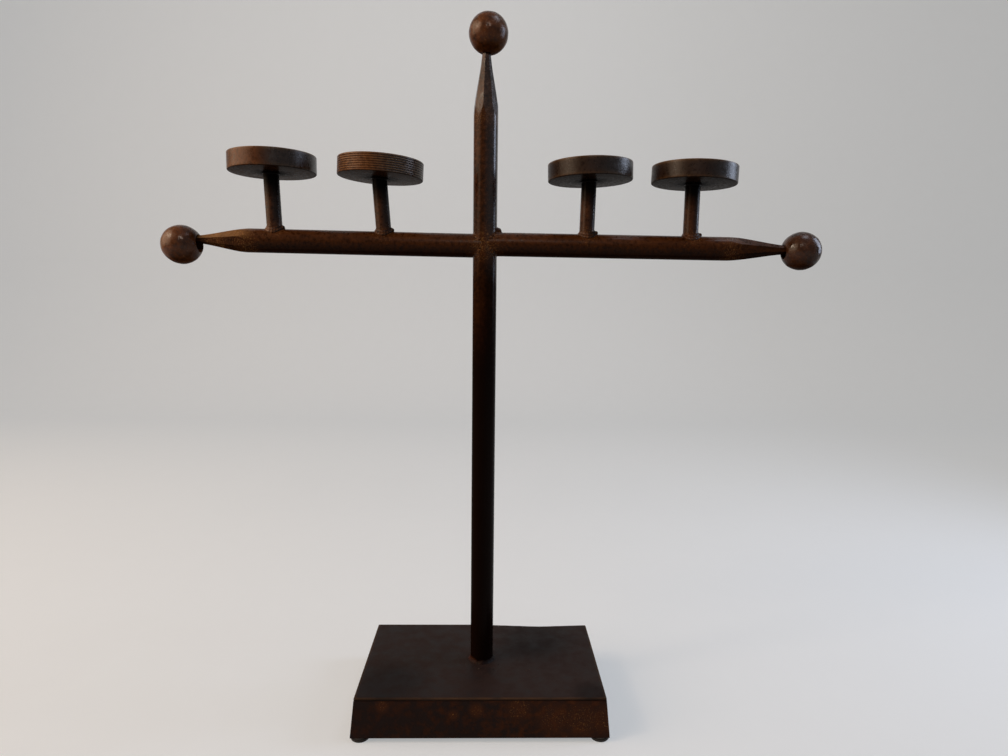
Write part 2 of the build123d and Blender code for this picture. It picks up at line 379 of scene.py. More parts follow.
def near(tree, place, spots):
    """1 at the spots, each X, Y, Z and reach in millimetres, falling to 0 at their reach."""
    full_share = 0.4
    share = 0.0
    for x, y, z, reach in spots:
        away = add(tree, "VectorMath", {0: place, 1: (x * MM, y * MM, z * MM)}, operation="DISTANCE")
        close = add(tree, "MapRange", {
            "Value": away, "From Min": reach * full_share * MM, "From Max": reach * MM,
            "To Min": 1.0, "To Max": 0.0})
        share = add(tree, "Math", {0: share, 1: close}, operation="MAXIMUM")
    return share


def shown(tree):
    """1 for the rays that show a background: from the camera, by gloss or through glass."""
    ray = add(tree, "LightPath").outputs
    seen = add(tree, "Math", {0: ray["Is Camera Ray"], 1: ray["Is Glossy Ray"]}, operation="MAXIMUM")
    return add(tree, "Math", {0: seen, 1: ray["Is Transmission Ray"]}, operation="MAXIMUM")


def patina(name, light, dark, fleck, patch, grit, relief, gloss, spread=0.33, lift=0.0, fleck_at=0.66,
           specular=0.45, fades=(), painted_light_by_facing=(), worn=(), flats=(), shade_and_stain_spots=(), black=None, shade_and_stain_shares=(1.0, 0.0),
           bare=0.0, lines=None):
    """Rusted and waxed steel: patches between two browns, dry flecks, pitted relief and a broken gloss.

    Sizes and places are in millimetres, and colours are named as in StandColours. The wax is thin on
    faces that look down. Each fade has an axis, two places along it and the shares of rust and of wax at
    each, and each turn the same between two slopes of a face to an axis; the turns are painted light and
    shade, more rust brown where a face looks towards the light and less where it looks away. Flecks are
    thick at the worn spots, and as painted light they cover the upper faces of the flats.
    The spots of painted shade and of stains take the black colour by the given shares on faces that look
    down and up, bare is the share of light metal on sharp edges, a painted highlight on rubber, and lines
    is the spacing of turning marks on upright faces.
    """
    found = bpy.data.materials.get(name)
    if found:
        return found
    colours = bpy.context.scene.stand_colours
    material = bpy.data.materials.new(name)
    material.use_nodes = True
    tree = material.node_tree
    place = add(tree, "TexCoord").outputs["Object"]
    axes = add(tree, "SeparateXYZ", {"Vector": place}).outputs
    surface = add(tree, "NewGeometry").outputs
    facing = add(tree, "SeparateXYZ", {"Vector": surface["Normal"]}).outputs

    # Shares of rust and of wax over the whole piece
    patches = add(tree, "TexNoise", {
        "Vector": place, "Scale": 1 / (patch * MM), "Detail": 4.0, "Roughness": 0.55})
    clouds = add(tree, "TexNoise", {
        "Vector": place, "Scale": 1 / (patch * CLOUD_PATCHES * MM), "Detail": 3.0, "Roughness": 0.55})
    grain = add(tree, "TexNoise", {
        "Vector": place, "Scale": 1 / (grit * MM), "Detail": 3.0, "Roughness": 0.6})
    mixture = add(tree, "Math", {0: clouds, 1: CLOUD_SHARE, 2: patches}, operation="MULTIPLY_ADD")
    middle = MIXTURE_MIDDLE - lift
    rust = add(tree, "MapRange", {
        "Value": mixture, "From Min": middle - spread / 2, "From Max": middle + spread / 2})
    wax = add(tree, "MapRange", {
        "Value": facing["Z"], "From Min": WAX_SLOPES[0], "From Max": WAX_SLOPES[1],
        "To Min": specular * LOW_WAX, "To Max": specular})

    # Changes of both along an axis and round it, the rust with a ragged border round it. The changes
    # round it are painted light and shade.
    changes = [
        (axes[axis], axes[axis], start * MM, end * MM, *shares) for axis, start, end, *shares in fades]
    # Painted light and shade: the rust share, and so the brown, follows the way a face looks
    for axis, start, end, *shares in painted_light_by_facing:
        ragged = add(tree, "Math", {0: patches, 1: NOISE_MIDDLE}, operation="SUBTRACT")
        border = add(tree, "Math", {
            0: ragged, 1: RAGGED_BORDER, 2: facing[axis]}, operation="MULTIPLY_ADD")
        changes.append((border, facing[axis], start, end, *shares))
    for rust_by, wax_by, start, end, rusts, waxes in changes:
        change = add(tree, "MapRange", {
            "Value": rust_by, "From Min": start, "From Max": end, "To Min": rusts[0], "To Max": rusts[1]})
        rust = add(tree, "Math", {0: rust, 1: change}, operation="MULTIPLY")
        change = add(tree, "MapRange", {
            "Value": wax_by, "From Min": start, "From Max": end, "To Min": waxes[0], "To Max": waxes[1]})
        wax = add(tree, "Math", {0: wax, 1: change}, operation="MULTIPLY")

    # Light flecks: grains of dry rust, the painted light on the hammered flats and the bare edges
    grit_level, dry = grain, rust
    if worn:
        rubbed = near(tree, place, worn)
        patchy = add(tree, "Math", {0: rubbed, 1: patches}, operation="MULTIPLY")
        rust = add(tree, "Math", {0: rust, 1: patchy}, operation="MAXIMUM")
        grit_level = add(tree, "Math", {0: rubbed, 1: WORN_FLECKS, 2: grain}, operation="MULTIPLY_ADD")
        dusty = add(tree, "Math", {0: rubbed, 1: WORN_DUST}, operation="MULTIPLY")
        dry = add(tree, "Math", {0: rust, 1: dusty}, operation="MAXIMUM")
    grains = add(tree, "MapRange", {
        "Value": grit_level, "From Min": fleck_at, "From Max": fleck_at + FLECK_FADE})
    flecks = add(tree, "Math", {0: grains, 1: dry}, operation="MULTIPLY")
    # Painted light: the fleck colour on the upper faces of the hammered flats
    if flats:
        upper = add(tree, "MapRange", {
            "Value": facing["Z"], "From Min": FLAT_SLOPES[0], "From Max": FLAT_SLOPES[1],
            "To Max": FLAT_PAINTED_LIGHT})
        hammered = near(tree, place, flats)
        flecks = add(tree, "Math", {0: hammered, 1: upper, 2: flecks}, operation="MULTIPLY_ADD")
    if bare:
        sharp = add(tree, "MapRange", {
            "Value": surface["Pointiness"], "From Min": EDGE_POINTS[0], "From Max": EDGE_POINTS[1]})
        edges = add(tree, "Math", {0: sharp, 1: patches}, operation="MULTIPLY")
        slanted = add(tree, "MapRange", {
            "Value": facing["Z"], "From Min": LEVEL_SLOPES[0], "From Max": LEVEL_SLOPES[1],
            "To Min": 1.0, "To Max": 0.0})
        edges = add(tree, "Math", {0: edges, 1: slanted}, operation="MULTIPLY")
        rubbed_off = add(tree, "MapRange", {
            "Value": facing["Z"], "From Min": BARE_SLOPES[0], "From Max": BARE_SLOPES[1],
            "To Min": bare * LOW_BARE, "To Max": bare})
        flecks = add(tree, "Math", {0: edges, 1: rubbed_off, 2: flecks}, operation="MULTIPLY_ADD")

    # Colour, with painted shade and stains over it that take most of the wax
    browns = add(tree, "Mix", {
        "Factor": rust, "A": getattr(colours, dark), "B": getattr(colours, light)}, data_type="RGBA")
    colour = add(tree, "Mix", {
        "Factor": flecks, "A": browns, "B": getattr(colours, fleck)}, data_type="RGBA")
    # Painted shade at the stem tops and under the cups, and real stains on the base plate, in the black
    # colour
    if shade_and_stain_spots:
        thick = add(tree, "MapRange", {
            "Value": facing["Z"], "From Min": SHADE_AND_STAIN_SLOPES[0], "From Max": SHADE_AND_STAIN_SLOPES[1],
            "To Min": shade_and_stain_shares[0], "To Max": shade_and_stain_shares[1]})
        shade_and_stain = add(tree, "Math", {0: near(tree, place, shade_and_stain_spots), 1: thick}, operation="MULTIPLY")
        colour = add(tree, "Mix", {
            "Factor": shade_and_stain, "A": colour, "B": getattr(colours, black)}, data_type="RGBA")
        wax_left = add(tree, "MapRange", {"Value": shade_and_stain, "To Min": 1.0, "To Max": SHADED_AND_STAINED_WAX})
        wax = add(tree, "Math", {0: wax, 1: wax_left}, operation="MULTIPLY")

    # Relief of patches, grit and turning marks
    height = add(tree, "Math", {0: grit_level, 1: GRIT_RELIEF, 2: patches}, operation="MULTIPLY_ADD")
    if lines:
        mark_length = 40
        along = 1 / (mark_length * MM)
        stretched = add(tree, "Mapping", {"Vector": place, "Scale": (along, along, 1 / (lines * MM))})
        marks = add(tree, "TexNoise", {"Vector": stretched, "Scale": 1.0, "Detail": 2.0})
        slope = add(tree, "Math", {0: facing["Z"]}, operation="ABSOLUTE")
        upright = add(tree, "MapRange", {
            "Value": slope, "From Min": TURNING_SLOPES[0], "From Max": TURNING_SLOPES[1],
            "To Min": LINE_RELIEF, "To Max": 0.0})
        height = add(tree, "Math", {0: marks, 1: upright, 2: height}, operation="MULTIPLY_ADD")
    bump = add(tree, "Bump", {"Height": height, "Distance": relief * BUMP_RELIEFS * MM, "Strength": 0.6})
    rough = add(tree, "MapRange", {
        "Value": patches, "From Min": NOISE_RANGE[0], "From Max": NOISE_RANGE[1],
        "To Min": gloss[0], "To Max": gloss[1]})
    feed(tree, tree.nodes["Principled BSDF"], {
        "Base Color": colour, "Roughness": rough, "Specular IOR Level": wax, "Normal": bump})
    return material


def stem_tops(reach):
    """Spots at the tops of the stems, with a reach in millimetres."""
    height = bpy.context.scene.stand_sizes.arm_height / MM
    return [(along, 0, height + rise, reach) for along, rise, tilt in PLACES.values()]


def post_patina():
    """Round post, rusted and waxed: brown above the arms, and near black and dull further down, partly its
    own dark finish and partly painted shade; painted light makes it browner on faces that look left and
    darker on those that look right.
    """
    return patina(
        "rusted_waxed_post", "rust", "umber", "ochre", patch=4.0, grit=1.2, spread=0.8,
        lift=-0.14, relief=0.05, gloss=(0.18, 0.30), specular=0.7, worn=WORN,
        # Partly painted shade down the post, and painted light and shade by the way a face looks
        fades=[("Z", 380, 540, (0.0, 1.0), (1.0, 1.0)), ("Z", 470, 540, (1.0, 1.0), (0.05, 1.0))],
        painted_light_by_facing=[("X", -0.3, 0.4, (1.0, 0.4), (0.2, 1.0))])


def bar_patina():
    """Hot-rolled bar rusted brown, oiled and waxed: painted light makes it lighter on top and painted shade
    darker below, with ochre flecks by the welds and painted light on the taper's upper flats.
    """
    return patina(
        "rusted_waxed_bar", "rust", "umber", "ochre", patch=4.0, grit=1.2, spread=0.8,
        # Painted light on the upper faces of the taper's hammered flats
        lift=0.06, relief=0.05, gloss=(0.24, 0.38), specular=0.36, worn=WORN, flats=FLATS,
        # Painted light and shade: browner on faces that look up, darker on those that look down
        painted_light_by_facing=[("Z", -0.5, 0.4, (0.25, 1.0), (1.0, 1.0)), ("Y", -0.95, -0.5, (1.0, 1.0), (0.35, 1.0))])


def stem_patina():
    """Stems of the same bar: painted shade makes them dark on the right and black under each cup."""
    return patina(
        "rusted_waxed_stem", "rust", "umber", "ochre", patch=4.0, grit=1.2, spread=0.8,
        # Painted shade: black at the stem tops under the cups, and dark on faces that look right
        lift=-0.06, relief=0.05, gloss=(0.24, 0.38), worn=WORN, shade_and_stain_spots=stem_tops(32), black="scale",
        painted_light_by_facing=[("X", -0.1, 0.5, (1.0, 0.2), (0.6, 0.7))])


def weld_patina():
    """Weld metal: lumpy, dark and speckled with dry ochre rust, with painted shade on faces that look
    right.
    """
    return patina(
        "rusted_weld_metal", "rust", "umber", "ochre", patch=3.0, grit=1.0, spread=0.5,
        lift=0.05, fleck_at=0.56, relief=0.14, gloss=(0.34, 0.52), specular=0.35,
        # Painted shade: darker on faces that look right
        painted_light_by_facing=[("X", 0.0, 0.5, (1.0, 0.2), (1.0, 0.5))])


def foot_weld_patina():
    """Weld round the post's foot: near black, with a breath of red rust on the left."""
    return patina(
        "rusted_foot_weld", "ember", "scale", "ochre", patch=4.0, grit=1.2, lift=0.10,
        fleck_at=0.74, relief=0.14, gloss=(0.45, 0.60), specular=0.12,
        fades=[("X", -16, 4, (1.0, 0.1), (1.0, 1.0))])


def cup_patina():
    """Turned cup, rusted and waxed, with turning marks, and darker on the cups further right: painted light
    makes it orange brown on faces that look left and near black on those that look right, and painted shade
    darkens faces that look straight left, the underside and the ring round the stem top.
    """
    return patina(
        "rusted_waxed_cup", "rust", "umber", "ochre", patch=3.5, grit=0.9, spread=0.6,
        lift=0.20, relief=0.05, gloss=(0.24, 0.38), specular=0.6, bare=0.9, lines=0.35,
        fades=[("X", -60, 60, (1.0, 0.08), (1.0, 1.0))],
        # Painted light and shade by the way a face looks, the underside in painted shade
        painted_light_by_facing=[
            ("X", -0.05, 0.3, (1.0, 0.05), (0.6, 1.0)), ("X", -0.95, -0.6, (0.45, 1.0), (0.3, 1.0)),
            ("Z", -0.8, -0.2, (0.2, 1.0), (1.0, 1.0))],
        # Painted shade round the stem top under the cup
        shade_and_stain_spots=stem_tops(26), black="scale")


def ball_patina():
    """Forged ball, hammered and waxed: reddish patches over dark scale, polished on the high spots, rust
    heavier on the left ball than on the right, and painted shade on the lower half.
    """
    return patina(
        "hammered_waxed_ball", "rust", "umber", "ochre", patch=5.0, grit=1.3, spread=0.5,
        lift=0.14, fleck_at=0.62, relief=0.10, gloss=(0.16, 0.30), specular=0.42,
        # The rust lessens towards the right-hand ball; painted shade darkens the lower half
        fades=[("X", -300, 320, (1.4, 0.6), (1.0, 1.0))], painted_light_by_facing=[("Z", -0.6, 0.3, (0.72, 1.0), (1.0, 1.0))])


def plate_patina():
    """Base plate, rusted and rubbed with dull wax: plum brown, cool dark stains and a thin bare edge."""
    return patina(
        "rusted_base_plate", "sheet", "stain", "ochre", patch=14.0, grit=1.1, spread=0.6,
        lift=0.25, fleck_at=0.72, relief=0.06, gloss=(0.50, 0.66), specular=0.14, bare=0.25,
        shade_and_stain_spots=STAINS, black="stain", shade_and_stain_shares=(0.5, 0.5))


def panel_patina():
    """Folded base panels: dark red brown, with ochre blotches of dry rust that thicken to the right."""
    return patina(
        "rusted_base_panel", "blotch", "fold", "ochre", patch=9.0, grit=1.2, spread=0.3,
        lift=-0.08, fleck_at=0.73, relief=0.08, gloss=(0.50, 0.66), specular=0.12, worn=BLOTCHES,
        fades=[("X", -110, 120, (0.35, 0.9), (1.0, 1.0))])


def moulded_rubber():
    """Black moulded rubber: a dull bloom over black, a fine moulded grain, and a grey rim that is a painted
    highlight.
    """
    return patina(
        "moulded_black_rubber", "bloom", "rubber", "rim", patch=3.0, grit=0.6,
        # Painted highlight: the rim grey on the sharp edges
        relief=0.02, gloss=(0.45, 0.60), fleck_at=0.74, specular=0.3, bare=0.8)


def drawn_steel():
    """Drawn steel wire filed to a point: dark metal with fine marks round it and a little rust."""
    name = "filed_drawn_steel"
    found = bpy.data.materials.get(name)
    if found:
        return found
    mark_spacing, spot_size, mark_depth = 0.5, 2.5, 0.08
    marks_per_metre = 120.0
    material = bpy.data.materials.new(name)
    material.use_nodes = True
    tree = material.node_tree
    place = add(tree, "TexCoord").outputs["Object"]
    stretched = add(tree, "Mapping", {
        "Vector": place, "Scale": (marks_per_metre, marks_per_metre, 1 / (mark_spacing * MM))})
    marks = add(tree, "TexNoise", {"Vector": stretched, "Scale": 1.0, "Detail": 3.0})
    spots = add(tree, "TexNoise", {"Vector": place, "Scale": 1 / (spot_size * MM), "Detail": 4.0})
    tone = add(tree, "ValToRGB", {"Fac": spots}, [(0.42, linear("6B6460")), (0.62, linear("4A3629"))])
    rough = add(tree, "MapRange", {
        "Value": marks, "From Min": 0.3, "From Max": 0.7, "To Min": 0.28, "To Max": 0.5})
    bump = add(tree, "Bump", {"Height": marks, "Distance": mark_depth * MM, "Strength": 0.5})
    feed(tree, tree.nodes["Principled BSDF"], {
        "Metallic": 1.0, "Base Color": tone, "Roughness": rough, "Normal": bump})
    return material


class STAND_OT_base(bpy.types.Operator):
    """Make the base plate with its sagging rear edge and finish the folded panels"""

    bl_idname = "stand.base"
    bl_label = "Base"

    def execute(self, context):
        sizes = context.scene.stand_sizes
        low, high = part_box("base_top_plate")
        sag_share, sag_width, sag_depth, sag_steps = 0.55, 75 * MM, 55 * MM, 14
        sag_middle = Vector((high.x * sag_share, high.y))
        edge_break = 0.9 * MM
        clear()
        bpy.ops.mesh.primitive_grid_add(x_subdivisions=64, y_subdivisions=40, size=1)
        plate = context.object
        plate.name = "sagging_base_plate"
        bpy.ops.object.mode_set(mode="EDIT")
        bpy.ops.mesh.select_all(action="SELECT")
        bpy.ops.transform.resize(value=(high.x - low.x, high.y - low.y, 1), center_override=(0, 0, 0))
        bpy.ops.transform.translate(value=(0, 0, high.z))
        for step in range(sag_steps):
            reach = 1 - step / sag_steps
            pick(plate, "VERT", lambda v: math.hypot(
                (v.co.x - sag_middle.x) / sag_width, (v.co.y - sag_middle.y) / sag_depth) < reach)
            bpy.ops.transform.translate(value=(0, 0, -sizes.rear_sag / sag_steps))
        clear()
        modify(plate, "SOLIDIFY", thickness=sizes.plate_thickness, offset=-1.0)
        modify(plate, "SMOOTH", factor=0.3, iterations=2, use_x=False, use_y=False)
        modify(
            plate, "BEVEL", width=edge_break, segments=3, limit_method="ANGLE",
            angle_limit=math.radians(50))
        dress(plate, plate_patina(), "base_steel", "base_top_plate")
        for side in ("front", "right", "rear", "left"):
            coat(f"base_{side}_panel", panel_patina())
        for end in ("front", "rear"):
            for side in ("left", "right"):
                coat(f"gusset_{end}_{side}", panel_patina())
        coat("foot_screws", drawn_steel())
        return {"FINISHED"}


class STAND_OT_feet(bpy.types.Operator):
    """Turn a rubber foot with a lip and a screw recess, and copy it to the four corners"""

    bl_idname = "stand.feet"
    bl_label = "Rubber feet"

    def execute(self, context):
        sizes = context.scene.stand_sizes
        radius = sizes.foot_diameter / 2 / MM
        height = sizes.foot_height / MM
        recess, recess_share, recess_edge = 4.05, 0.6, 0.3
        tread_edge, top_edge = 1.5, 1.0
        lip_drop, lip_slope, lip_end, lip_depth = 1.9, 0.2, 0.5, 0.35
        lip = height - lip_drop
        rings = [(recess, height * recess_share), (recess, recess_edge), (recess + recess_edge, 0.0)]
        rings += arc((radius - tread_edge, tread_edge), tread_edge, -90, 0)
        rings += [(radius, lip), (radius - lip_depth, lip + lip_slope), (radius - lip_depth, lip + lip_end)]
        rings += arc((radius - top_edge, height - top_edge), top_edge, 10, 90)
        foot = turned("rubber_foot", rings, 96)
        corners = [f"foot_{end}_{side}" for end in ("front", "rear") for side in ("left", "right")]
        feet = [foot] + [again(foot, "rubber_foot") for corner in corners[1:]]
        for piece, corner in zip(feet, corners):
            low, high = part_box(corner)
            middle = (low + high) / 2
            put(piece, Matrix.Translation((middle.x, middle.y, 0)))
            piece.name = f"rubber_{corner}"
            dress(piece, moulded_rubber(), "foot_rubber", corner)
        return {"FINISHED"}


class STAND_OT_bars(bpy.types.Operator):
    """Finish the post, the arms and the stems"""

    bl_idname = "stand.bars"
    bl_label = "Bars"

    def execute(self, context):
        coat("post", post_patina())
        for side in ("left", "right"):
            coat(f"{side}_arm", bar_patina())
        for name in PLACES:
            coat(f"{name}_stem", stem_patina())
        return {"FINISHED"}


class STAND_OT_balls(bpy.types.Operator):
    """Make a ball, copy it to the three bar ends, bore each copy and hammer it"""

    bl_idname = "stand.balls"
    bl_label = "Ball finials"

    def execute(self, context):
        sizes = context.scene.stand_sizes
        radius = sizes.ball_diameter / 2
        bore_edge, mouth_depth, mouth_flare = 0.8, 1.2, 2.4
        clear()
        bpy.ops.mesh.primitive_uv_sphere_add(segments=128, ring_count=96, radius=radius)
        ball = context.object
        bpy.ops.object.mode_set(mode="EDIT")
        bpy.ops.mesh.select_all(action="SELECT")
        bpy.ops.transform.resize(value=(1, 1, sizes.ball_stretch), center_override=(0, 0, 0))
        clear()
        low = -radius * sizes.ball_stretch
        end = (low + sizes.bore_depth) / MM
        mouth = low / MM + mouth_depth
        copies = [ball] + [again(ball, "ball") for name in list(BALLS)[1:]]
        for piece, (name, (centre, turn, bore, shift)) in zip(copies, BALLS.items()):
            piece.name = f"hammered_{name}"
            rings = [(bore - bore_edge, end), (bore, end - bore_edge), (bore, mouth)]
            rings.append((bore + mouth_flare, mouth - mouth_flare))
            drill = turned("drill", rings, 96)
            put(drill, Matrix.Translation((shift * MM, 0, 0)))
            modify(piece, "BOOLEAN", object=drill, operation="DIFFERENCE", solver="EXACT")
            take(drill)
            bpy.ops.object.delete()
            spin = Matrix.Rotation(math.radians(turn), 4, "Y")
            put(piece, Matrix.Translation(Vector(centre) * MM) @ spin)
            roughen(piece, size=9.0, strength=0.5)
            roughen(piece, size=3.0, strength=0.18)
            dress(piece, ball_patina(), "ball_steel", name)
        return {"FINISHED"}


class STAND_OT_cups(bpy.types.Operator):
    """Turn the candle cups, three plain and one with grooves round it"""

    bl_idname = "stand.cups"
    bl_label = "Candle cups"

    def execute(self, context):
        sizes = context.scene.stand_sizes
        radius = sizes.cup_diameter / 2 / MM
        height = sizes.cup_height / MM
        wall = sizes.cup_wall / MM
        depth = sizes.groove_depth / MM
        inside = radius - wall
        foot_edge, rim_edge, inner_edge, spike_hole = 1.2, 0.9, 2, 3.2
        # Rings up the plain wall keep the bare metal of the edges off its middle.
        wall_shares = (0.15, 0.3, 0.5, 0.7, 0.85)
        # One groove: places above and below its middle, and the shares of its depth there.
        groove = ((-0.65, 0), (-0.3, 0.7), (0, 1), (0.3, 0.7), (0.65, 0))
        foot = arc((radius - foot_edge, foot_edge), foot_edge, -90, 0)
        plain = foot + [(radius, height * share) for share in wall_shares]
        grooved = list(foot)
        for number in range(sizes.groove_count):
            level = height * (number + 1) / (sizes.groove_count + 1)
            grooved += [(radius - depth * share, level + over) for over, share in groove]
        rim = arc((radius - rim_edge, height - rim_edge), rim_edge, 0, 90)
        rim += arc((inside + rim_edge, height - rim_edge), rim_edge, 90, 180)
        rim += arc((inside - inner_edge, wall + inner_edge), inner_edge, 0, -90)
        rim += [(spike_hole, wall)]
        first = turned("turned_cup", plain + rim)
        cups = {
            "outer_left": first,
            "inner_left": turned("grooved_cup", grooved + rim),
            "inner_right": again(first, "turned_cup"),
            "outer_right": again(first, "turned_cup"),
        }
        for name, piece in cups.items():
            piece.name = f"turned_{name}_cup"
            put(piece, seat(name))
            dress(piece, cup_patina(), "cup_steel", f"{name}_cup")
        return {"FINISHED"}


class STAND_OT_prickets(bpy.types.Operator):
    """Finish the filed spikes in the cups"""

    bl_idname = "stand.prickets"
    bl_label = "Prickets"

    def execute(self, context):
        for name in PLACES:
            coat(f"{name}_pricket", drawn_steel())
        return {"FINISHED"}


class STAND_OT_welds(bpy.types.Operator):
    """Melt the welds of the crossing, the stems' feet and the post's foot, and finish the others"""

    bl_idname = "stand.welds"
    bl_label = "Welds"

    def stub(self, radius, start, end):
        """Short round bar between two points in metres."""
        start, end = Vector(start), Vector(end)
        clear()
        bpy.ops.mesh.primitive_cylinder_add(vertices=96, radius=radius, depth=(end - start).length)
        piece = bpy.context.object
        turn = (end - start).to_track_quat("Z", "Y").to_matrix().to_4x4()
        put(piece, Matrix.Translation((start + end) / 2) @ turn)
        return piece

    def drops(self, places):
        """Drops of weld metal, each X, Y, Z and radius in millimetres."""
        clear()
        bpy.ops.mesh.primitive_uv_sphere_add(segments=24, ring_count=16, radius=1 * MM)
        first = bpy.context.object
        pieces = [first] + [again(first, "drop") for place in places[1:]]
        for piece, (x, y, z, radius) in zip(pieces, places):
            size = Matrix.Diagonal((radius, radius, radius, 1))
            put(piece, Matrix.Translation(Vector((x, y, z)) * MM) @ size)
        return pieces

    def melt(self, name, pieces, fine, rounds):
        """Run pieces together into one soft lump, with facets of a size in millimetres."""
        take(pieces[0])
        for piece in pieces:
            piece.select_set(True)
        bpy.ops.object.join()
        lump = bpy.context.object
        lump.name = name
        modify(lump, "REMESH", mode="VOXEL", voxel_size=fine * MM)
        modify(lump, "SMOOTH", factor=0.5, iterations=rounds)
        return lump

    def crossing(self):
        """Blend between the post and the two arms, with the lump in its upper right corner."""
        left_low, left_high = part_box("left_arm_weld")
        right_low, right_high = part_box("right_arm_weld")
        rise = (left_high.z - left_low.z) / 2
        left, right = left_low.z + rise, right_low.z + rise
        middle = (left + right) / 2
        reach = 30 * MM
        under_post, under_arm = 0.3 * MM, 0.34 * MM
        post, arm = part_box("post")[1].x - under_post, left_high.y - under_arm
        lump_radius, lump_front = 3.9, -1.0
        seam_radius, bead_radius, bead_swell = 12.6, 2.0, 0.3
        pieces = [
            self.stub(post, (0, 0, middle - reach), (0, 0, middle + reach)),
            self.stub(arm, (-reach, 0, left), (0, 0, left)),
            self.stub(arm, (0, 0, right), (reach, 0, right)),
        ]
        corner_x, corner_z = right_high.x / MM, right_high.z / MM
        beads = [(corner_x - lump_radius, lump_front, corner_z - lump_radius, lump_radius)]
        for side, height in ((-1, left / MM), (1, right / MM)):
            for over in (-1, 1):
                for front in (-1, 1):
                    for along in (6.0, 8.5, 11.0):
                        out = math.sqrt(seam_radius ** 2 - along ** 2)
                        size = bead_radius + bead_swell * math.sin(5 * along)
                        beads.append((side * along, front * out, height + over * along, size))
        lump = self.melt("crossing_weld", pieces + self.drops(beads), fine=0.7, rounds=22)
        roughen(lump, size=4.0, strength=0.5)
        dress(lump, bar_patina(), "weld_metal", "left_arm_weld", "right_arm_weld")

    def stem_feet(self):
        """Sloping bead round the foot of a stem with a drop on its right, copied to the four stems."""
        arm, stem, count = 12.5, 7.95, 20
        top_over_arm = 3.2
        # Rows of the bead: out from the stem, over the arm, and radius.
        rows = ((-0.9, 2.0, 2.1), (0.4, -0.6, 2.4))
        drop_out, drop_front, drop_over, drop_radius = 1.6, -2.4, 1.2, 2.2
        beads = [(stem + drop_out, drop_front, arm + drop_over, drop_radius)]
        for number in range(count):
            turn = 2 * math.pi * number / count
            swell = 0.25 * math.sin(3 * turn + 1) + 0.3 * math.cos(turn)
            for out, over, size in rows:
                x, y = ((stem + out) * side for side in (math.cos(turn), math.sin(turn)))
                beads.append((x, y, math.sqrt(arm ** 2 - y ** 2) + over, size + swell))
        bead = self.melt("stem_foot_weld", self.drops(beads), fine=0.5, rounds=10)
        roughen(bead, size=2.5, strength=0.6)
        copies = [bead] + [again(bead, "stem_foot_weld") for name in list(PLACES)[1:]]
        for piece, name in zip(copies, PLACES):
            low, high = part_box(f"{name}_stem_weld")
            piece.name = f"{name}_foot_weld"
            put(piece, Matrix.Translation(((low.x + high.x) / 2, 0, high.z - (arm + top_over_arm) * MM)))
            dress(piece, weld_patina(), "weld_metal", f"{name}_stem_weld")

    def post_foot(self):
        """Low ring round the foot of the post."""
        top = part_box("base_top_plate")[1].z
        rings = [(15.3, -0.6), (14.8, 0.2), (14.1, 0.8), (13.5, 1.6), (13.0, 2.6), (12.5, 3.8)]
        ring = turned("post_foot_weld", rings, 120)
        put(ring, Matrix.Translation((0, 0, top)))
        roughen(ring, size=5.0, strength=1.2)
        roughen(ring, size=1.8, strength=0.4)
        dress(ring, foot_weld_patina(), "weld_metal", "post_weld")

    def execute(self, context):
        self.crossing()
        self.stem_feet()
        self.post_foot()
        for name in PLACES:
            coat(f"{name}_cup_weld", stem_patina())
        return {"FINISHED"}


class STAND_OT_spatter(bpy.types.Operator):
    """Scatter a few beads of weld spatter on the base in front of the post"""

    bl_idname = "stand.spatter"
    bl_label = "Weld spatter"

    def execute(self, context):
        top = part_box("base_top_plate")[1].z
        # X, Y and radius of each bead in millimetres
        beads = [
            (-3.0, -23.5, 1.0), (13.0, -24.0, 0.8), (-24.0, -12.0, 0.7), (19.0, -15.0, 0.7),
            (4.0, -31.0, 0.6),
        ]
        flattened, splayed, sole = 0.7, 1.2, -0.3 * MM
        clear()
        bpy.ops.mesh.primitive_uv_sphere_add(segments=20, ring_count=12, radius=1 * MM)
        bead = context.object
        bpy.ops.object.mode_set(mode="EDIT")
        bpy.ops.mesh.select_all(action="SELECT")
        bpy.ops.transform.resize(value=(1, 1, flattened), center_override=(0, 0, 0))
        pick(bead, "VERT", lambda v: v.co.z < sole)
        bpy.ops.transform.resize(value=(splayed, splayed, 0), center_override=(0, 0, sole))
        clear()
        copies = [bead] + [again(bead, "bead") for place in beads[1:]]
        for number, (piece, (x, y, radius)) in enumerate(zip(copies, beads)):
            piece.name = f"spatter_bead_{number + 1}"
            size = Matrix.Diagonal((radius, radius, radius, 1))
            put(piece, Matrix.Translation((x * MM, y * MM, top)) @ size)
            roughen(piece, size=0.8, strength=0.15)
            dress(piece, drawn_steel() if number == 0 else foot_weld_patina(), "weld_metal")
        return {"FINISHED"}


